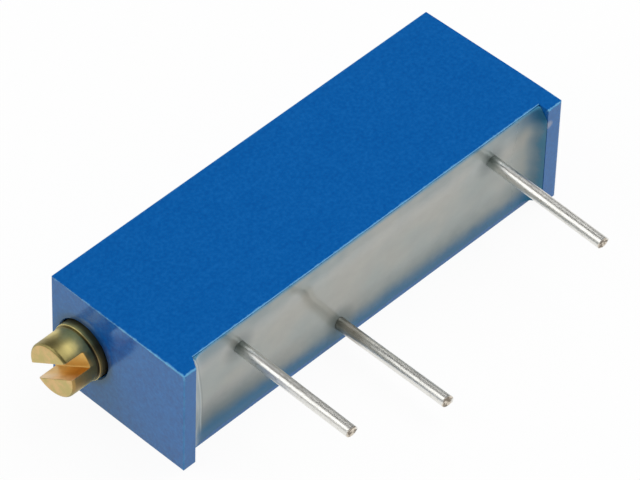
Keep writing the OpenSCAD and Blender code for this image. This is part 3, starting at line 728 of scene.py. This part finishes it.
def potting_material():
    """Glossy grey casting resin: blue shows through where it thins out over the walls and the far foot,
    with painted shade in the far corner, round the wires and past the near bead, and painted highlight
    along the near bead and the high edge.
    """
    material, g, shader, position = new_material("grey_potting")
    x, _, z = g.parts(position)
    mottle = g.use(MOTTLE, Position=position, Stretch=(1.0, 1.0, 1.4), Blotch_Scale=0.3, Grain_Scale=9.0)
    warm, cool = (0.405, 0.395, 0.35, 1), (0.345, 0.37, 0.345, 1)
    dim, thin_blue = (0.06, 0.10, 0.115, 1), (0.0, 0.1, 0.235, 1)
    brim_blue, high_blue = (0.07, 0.18, 0.24, 1), (0.06, 0.26, 0.42, 1)
    foot_blue, seam_blue = (0.02, 0.135, 0.225, 1), (0.03, 0.17, 0.28, 1)
    corner_shade_blue = (0.004, 0.075, 0.18, 1)
    resin_sheen, blue_sheen = (0.75, 0.9, 1.0, 1), (0.15, 0.55, 0.72, 1)
    wire_shade_colour = (0.09, 0.12, 0.115, 1)
    body = g.blend(g.span(mottle["Blotch"], -0.15, 0.15), warm, cool)
    body = scaled(g, body, tone(g, mottle["Cloud"], 0.16))

    # Along the low wall the resin is dimmer, and thin enough for the blue at the very edge
    wander = g.plus(z, g.times(mottle["Cloud"], 0.3))
    near_part = g.span(g.math("ABSOLUTE", g.plus(x, 7.1)), 0.4, 4.5, 1.0, 0.0)
    hazy = g.span(g.minus(wander, g.times(near_part, 0.35)), 0.45, 1.9, 1.0, 0.0)
    hazy = g.times(hazy, g.plus(0.45, g.times(near_part, 0.35)))
    thin = g.span(g.minus(wander, g.times(near_part, 0.1)), 0.34, 1.2, 1.0, 0.0)
    thin = g.math("POWER", thin, 1.5)
    colour = g.blend(hazy, body, dim)
    colour = g.blend(thin, colour, thin_blue)

    # Along the high wall it thins out in patches, most of all near the ends
    patches = g.noise(g.vector("MULTIPLY", position, (0.45, 0.0, 0.0)), 1.0, 2.0)
    ends = g.larger(g.span(x, -7.6, -6.0, 0.6, 0.0), g.span(x, 5.5, 8.0, 0.0, 0.7))
    brim = g.times(g.span(z, 3.5, 4.6), g.larger(ends, g.span(patches, 0.38, 0.62, 0.05, 0.32)))
    colour = g.blend(brim, colour, brim_blue)

    # Where it climbs the far foot it turns blue, with painted shade deepest in the corner
    far_gap = g.minus(FAR_FLANK_X, g.plus(x, g.times(mottle["Cloud"], 0.3)))
    colour = g.blend(g.span(far_gap, 0.0, 0.65, 0.85, 0.0), colour, foot_blue)
    colour = g.blend(g.span(far_gap, 0.02, 0.16, 1.0, 0.0), colour, seam_blue)
    corner = g.times(g.span(z, WIDTH - 1.2, WIDTH - 0.1), g.span(far_gap, 0.0, 1.7, 0.85, 0.0))
    colour = g.blend(corner, colour, corner_shade_blue)
    sheen = g.blend(g.larger(thin, corner), resin_sheen, blue_sheen)
    # Towards the high edge it turns light blue: housing blue under the thin resin, with a painted highlight
    # along the edge
    colour = g.blend(g.span(z, WIDTH - 0.24, WIDTH - 0.05, 0.0, 0.8), colour, high_blue)
    colour = bead_layers(g, colour, x, z)

    # A darker ring round each wire's root: painted shade where the wire goes into the resin
    wire_shade_rings = 0.0
    for spot in PIN_SPOTS:
        from_pin = g.vector("MULTIPLY", g.vector("SUBTRACT", position, (spot.x, 0, spot.y)), (1, 0, 1))
        wire_shade_rings = g.larger(wire_shade_rings, g.span(g.length(from_pin), WIRE_R, WIRE_R + 0.7, 0.6, 0.0))
    colour = g.blend(wire_shade_rings, colour, wire_shade_colour)

    roughness = g.plus(g.plus(0.15, g.span(far_gap, 0.2, 1.9, 0.28, 0.0)), g.times(mottle["Cloud"], 0.08))
    height = g.plus(mottle["Cloud"], g.times(mottle["Grain"], 0.2))
    feed(g, shader, Base_Color=colour, Roughness=roughness,
         IOR=1.58, Specular_Tint=sheen, Normal=bump(g, height, 0.002))
    return material


def tinned_material():
    """Tinned copper wire: drawn lines, dull specks, and bare copper where the shears cut it."""
    material, g, shader, position = new_material("tinned_wire")
    x, y, _ = g.parts(position)
    drawn = g.use(DRAWN, Position=position, Across=(16.0, 0.7, 16.0), Amount=0.5)
    mottle = g.use(MOTTLE, Position=position, Stretch=(1.0, 0.5, 1.0), Blotch_Scale=1.2, Grain_Scale=12.0)
    tin, dull = (0.80, 0.79, 0.75, 1), (0.45, 0.43, 0.37, 1)
    copper_dark, copper_bright = (0.14, 0.10, 0.06, 1), (0.74, 0.66, 0.55, 1)
    root_stain_and_reflection, brown = (0.36, 0.40, 0.38, 1), (0.30, 0.27, 0.22, 1)
    specks = g.span(mottle["Grain"], 0.06, 0.2, 0.0, 0.55)
    darkening = g.math("ADD", g.times(drawn["Deep"], 0.4), specks, clamp=True)
    colour = g.blend(darkening, tin, dull)

    # The sheared end faces down the wire
    facing = g.parts(g.put("TexCoord").outputs["Normal"])[1]
    cut = g.span(facing, -0.94, -0.8, 0.85, 0.0)
    copper = g.blend(g.span(g.noise(position, 5.5, 2.0), 0.42, 0.6), copper_dark, copper_bright)
    colour = g.blend(cut, colour, copper)

    # Resin stain and a painted reflection of the grey potting at every root, and brown tarnish further down
    # the middle wire
    root = g.plus(y, g.times(mottle["Cloud"], 0.3))
    colour = g.blend(g.span(root, RIM_Y - 0.5, RIM_Y - 0.1, 0.0, 0.9), colour, root_stain_and_reflection)
    middle = g.span(g.math("ABSOLUTE", g.minus(x, PIN_SPOTS[1].x)), 1.0, 1.5, 1.0, 0.0)
    brown_patch = g.times(g.span(y, RIM_Y - 1.5, RIM_Y - 0.9, 0.0, 0.55), middle)
    colour = g.blend(brown_patch, colour, brown)

    roughness = g.plus(g.plus(0.33, g.times(mottle["Cloud"], 0.2)), g.times(cut, 0.12))
    height = g.plus(drawn["Lines"], g.times(mottle["Grain"], 0.5))
    feed(g, shader, Base_Color=colour, Metallic=1.0, Roughness=roughness, Normal=bump(g, height, 0.005))
    return material


def brass_material():
    """Turned brass: olive tarnish on the flank, yellow on sawn and faced surfaces, coppery in the slot."""
    material, g, shader, position = new_material("turned_brass")
    x, y, z = g.parts(position)
    off_y, off_z = g.minus(y, SCREW_Y), g.minus(z, SCREW_Z)
    turning = g.use(DRAWN, Position=position, Across=(26.0, 0.6, 0.6), Amount=0.4)
    mottle = g.use(MOTTLE, Position=position, Stretch=(1.0, 1.0, 1.0), Blotch_Scale=0.7, Grain_Scale=10.0)
    olive_light, olive_dark = (0.66, 0.55, 0.21, 1), (0.55, 0.46, 0.17, 1)
    faced_warm, faced_green = (0.69, 0.48, 0.22, 1), (0.56, 0.46, 0.185, 1)
    slot_pale, slot_copper = (0.85, 0.65, 0.40, 1), (0.76, 0.49, 0.15, 1)
    brown, darkening = (0.38, 0.235, 0.08, 1), (0.11, 0.095, 0.06, 1)

    # Olive flank that grows brighter to the rim, and the front as it was faced
    olive = g.blend(g.span(mottle["Cloud"], -0.2, 0.2), olive_light, olive_dark)
    faced = g.blend(g.span(mottle["Cloud"], -0.12, 0.12), faced_warm, faced_green)
    front = g.math("LESS_THAN", x, HEAD_FRONT_X + 0.02)
    brighter_to_rim = g.span(x, HEAD_FRONT_X + 0.2, RIM_X - 0.4, 0.55, 1.3)
    colour = g.blend(front, scaled(g, olive, brighter_to_rim), faced)

    # Brown darkening on the side of the pins: painted shade where that side of the flank reflects dark
    # surroundings
    pin_side = g.minus(g.times(off_z, 0.26), g.times(off_y, 0.97))
    brown_patch = g.times(g.span(pin_side, 0.82, 1.02, 0.0, 0.85), g.minus(1.0, front))
    colour = g.blend(brown_patch, colour, brown)

    # Floor and walls of the slot
    across = g.minus(g.times(off_z, math.cos(SLOT_ANGLE)), g.times(off_y, math.sin(SLOT_ANGLE)))
    in_slot = g.math("LESS_THAN", g.math("ABSOLUTE", across), SLOT_WIDTH / 2 + 0.01)
    past_front = g.math("GREATER_THAN", x, HEAD_FRONT_X + 0.03)
    before_floor = g.math("LESS_THAN", x, HEAD_FRONT_X + SLOT_DEPTH + 0.02)
    sawn = g.times(g.times(in_slot, past_front), before_floor)
    coppery = g.blend(g.span(x, HEAD_FRONT_X + 0.15, HEAD_FRONT_X + 0.5), slot_pale, slot_copper)
    colour = g.blend(sawn, colour, scaled(g, coppery, tone(g, mottle["Cloud"], 0.4)))

    # Painted shade in the line before the rim, lighter on the top side as a painted highlight, and painted
    # shade all round behind it where the rim goes into the housing
    rim_shade = g.times(g.math("LESS_THAN", x, RIM_X + 0.012), g.span(x, RIM_X - 0.1, RIM_X - 0.06))
    top_side = g.plus(g.times(off_z, 0.94), g.times(off_y, 0.34))
    top_side_light = g.times(g.span(top_side, 0.6, 0.95, 0.0, 0.3), g.math("LESS_THAN", x, RIM_X + 0.025))
    behind_rim_shade = g.span(x, RIM_X + 0.05, NEAR_X - 0.04, 0.0, 0.76)
    rim_shade = g.larger(g.minus(rim_shade, top_side_light), behind_rim_shade)
    colour = g.blend(g.times(rim_shade, 0.94), colour, darkening)

    roughness = g.plus(g.times(front, 0.06), g.plus(0.44, g.times(mottle["Cloud"], 0.12)))
    height = g.plus(turning["Lines"], g.times(mottle["Grain"], 0.3))
    feed(g, shader, Base_Color=scaled(g, colour, tone(g, turning["Lines"], 0.35)), Metallic=1.0,
         Roughness=roughness, Normal=bump(g, height, 0.003))
    return material


def plain_finish(name, first, second, metallic, roughness, blotch, grain, depth, stretch=(1, 1, 1)):
    """Finish of an inner piece: two tones in soft blotches with a fine grain."""
    material, g, shader, position = new_material(name)
    mottle = g.use(MOTTLE, Position=position, Stretch=stretch, Blotch_Scale=blotch, Grain_Scale=grain)
    mixed = g.blend(g.span(mottle["Cloud"], -0.2, 0.2), (*first, 1), (*second, 1))
    feed(g, shader, Base_Color=scaled(g, mixed, tone(g, mottle["Grain"], 0.3)), Metallic=metallic,
         Roughness=g.plus(roughness, g.times(mottle["Grain"], 0.2)),
         Normal=bump(g, mottle["Grain"], depth))
    return material


def dress(material, *names):
    """Gives a material to CAD nodes or to new pieces."""
    for name in names:
        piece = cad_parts.get(name) or bpy.data.objects[name]
        piece.data.materials.clear()
        piece.data.materials.append(material)


dress(housing_material(), "housing")
dress(potting_material(), "cast_potting")
dress(tinned_material(), "near_wire", "wiper_wire", "far_wire")
dress(brass_material(), "adjusting_screw")

# Inner pieces: name, two tones, metallic, roughness, blotch and grain scale, grain depth and
# stretch, then the nodes that wear the finish
for finish, nodes in (
        (("alumina", (0.84, 0.82, 0.75), (0.76, 0.74, 0.67), 0.0, 0.55, 0.8, 22.0, 0.004),
         ("element_substrate",)),
        (("cermet_film", (0.03, 0.03, 0.032), (0.05, 0.047, 0.045), 0.0, 0.5, 1.5, 26.0, 0.003),
         ("resistive_track",)),
        (("conductor_film", (0.6, 0.59, 0.55), (0.45, 0.44, 0.41), 0.7, 0.42, 1.5, 26.0, 0.003),
         ("collector_track", "near_pad", "far_pad")),
        (("solder", (0.66, 0.66, 0.65), (0.5, 0.5, 0.49), 1.0, 0.25, 2.5, 12.0, 0.006),
         ("near_solder", "wiper_solder", "far_solder")),
        (("spring_steel", (0.42, 0.43, 0.45), (0.3, 0.3, 0.31), 1.0, 0.35, 1.5, 20.0, 0.003, (1, 6, 1)),
         ("retaining_clip",)),
        (("seal_rubber", (0.022, 0.022, 0.024), (0.04, 0.04, 0.04), 0.0, 0.6, 1.5, 20.0, 0.004),
         ("sealing_ring",)),
        (("natural_nylon", (0.82, 0.78, 0.66), (0.74, 0.69, 0.56), 0.0, 0.45, 0.7, 15.0, 0.004),
         ("carriage",)),
        (("contact_alloy", (0.62, 0.52, 0.32), (0.5, 0.42, 0.26), 1.0, 0.3, 1.5, 20.0, 0.003, (1, 1, 5)),
         ("wiper_contact",))):
    dress(plain_finish(*finish), *nodes)


# ---------------------------------------------------------------- studio


# In metres: half the table's side, and how far it lies under the part
TABLE_HALF = 0.6
TABLE_DROP = 0.00002
PAPER_SHADE = 0.82
# Share of the table's white that the eye and mirrors see as plain white
TABLE_GLOW = 0.94
# Light of the room on dull surfaces, and on glossy ones at table height and overhead
ROOM_LIGHT = 0.48
LOW_WALLS, CEILING = 0.55, 0.11


def aim(azimuth, elevation):
    """Direction from the part to a lamp or camera; azimuth 0 is the side of the pins."""
    return Vector((math.sin(azimuth) * math.cos(elevation), -math.cos(azimuth) * math.cos(elevation),
                   math.sin(elevation)))


def add_floor():
    """White table that keeps the part's shadow."""
    bm = bmesh.new()
    bmesh.ops.create_grid(bm, x_segments=8, y_segments=8, size=TABLE_HALF)
    mesh = bpy.data.meshes.new("table_top")
    bm.to_mesh(mesh)
    bm.free()
    floor = bpy.data.objects.new("table_top", mesh)
    bpy.context.scene.collection.objects.link(floor)
    floor.location.z = -TABLE_DROP
    material = bpy.data.materials.new("white_table")
    material.use_nodes = True
    g = Graph(material.node_tree)
    material.node_tree.nodes.remove(material.node_tree.nodes["Principled BSDF"])
    out = material.node_tree.nodes["Material Output"]
    path = g.put("LightPath").outputs
    paper = g.put("BsdfDiffuse", {"Color": (PAPER_SHADE, PAPER_SHADE, PAPER_SHADE, 1)}).outputs[0]
    glow = g.put("Emission", {"Color": (1, 1, 1, 1), "Strength": 1.0}).outputs[0]
    seen = g.larger(path["Is Camera Ray"], g.larger(path["Is Glossy Ray"], path["Is Transmission Ray"]))
    mixed = g.put("MixShader", {0: g.times(seen, TABLE_GLOW), 1: paper, 2: glow}).outputs[0]
    g.give(out.inputs["Surface"], mixed)
    floor.data.materials.append(material)


def add_world():
    """White backdrop to the eye, and a dim even room for everything else."""
    world = bpy.data.worlds.new("studio")
    bpy.context.scene.world = world
    world.use_nodes = True
    g = Graph(world.node_tree)
    background = world.node_tree.nodes["Background"]
    path = g.put("LightPath").outputs
    white = g.larger(path["Is Camera Ray"], path["Is Transmission Ray"])
    height = g.parts(g.put("TexCoord").outputs["Generated"])[2]
    walls = g.span(height, 0.05, 0.5, LOW_WALLS, CEILING)
    room = g.plus(g.times(path["Is Glossy Ray"], g.minus(walls, ROOM_LIGHT)), ROOM_LIGHT)
    level = g.plus(white, g.times(g.minus(1.0, white), room))
    feed(g, background, Color=(1, 1, 1, 1), Strength=level)


def add_lamp(name, azimuth, elevation, distance, size, power, mirrored=True):
    """Square soft lamp that looks at the middle of the part; some give no highlight."""
    lamp = bpy.data.lights.new(name, "AREA")
    lamp.shape = "SQUARE"
    lamp.size = size
    lamp.energy = power
    holder = bpy.data.objects.new(name, lamp)
    holder.visible_glossy = mirrored
    bpy.context.scene.collection.objects.link(holder)
    direction = aim(math.radians(azimuth), math.radians(elevation))
    holder.location = direction * distance
    holder.rotation_euler = direction.to_track_quat("Z", "Y").to_euler()


def add_camera():
    """Long lens from above the corner between the screw end and the pins, turned slightly."""
    direction = aim(math.radians(-47.166), math.radians(46.247))
    roll = math.radians(1.939)
    target = Vector((0.080, -0.453, 2.415)) * MM
    distance = 0.18998
    camera = bpy.data.cameras.new("camera")
    camera.sensor_width = 36.0
    camera.lens = 301.74
    camera.clip_start = 0.01
    holder = bpy.data.objects.new("camera", camera)
    bpy.context.scene.collection.objects.link(holder)
    holder.location = target + direction * distance
    turn = direction.to_track_quat("Z", "Y") @ Matrix.Rotation(roll, 3, "Z").to_quaternion()
    holder.rotation_euler = turn.to_euler()
    bpy.context.scene.camera = holder


add_floor()
add_world()
add_lamp("key_softbox", 80, 58, distance=0.30, size=0.25, power=0.48)
add_lamp("left_softbox", -132, 42, distance=0.30, size=0.24, power=0.28)
add_lamp("front_fill", -8, 24, distance=0.40, size=0.36, power=0.20, mirrored=False)
add_camera()
bpy.context.scene.view_settings.view_transform = "Standard"
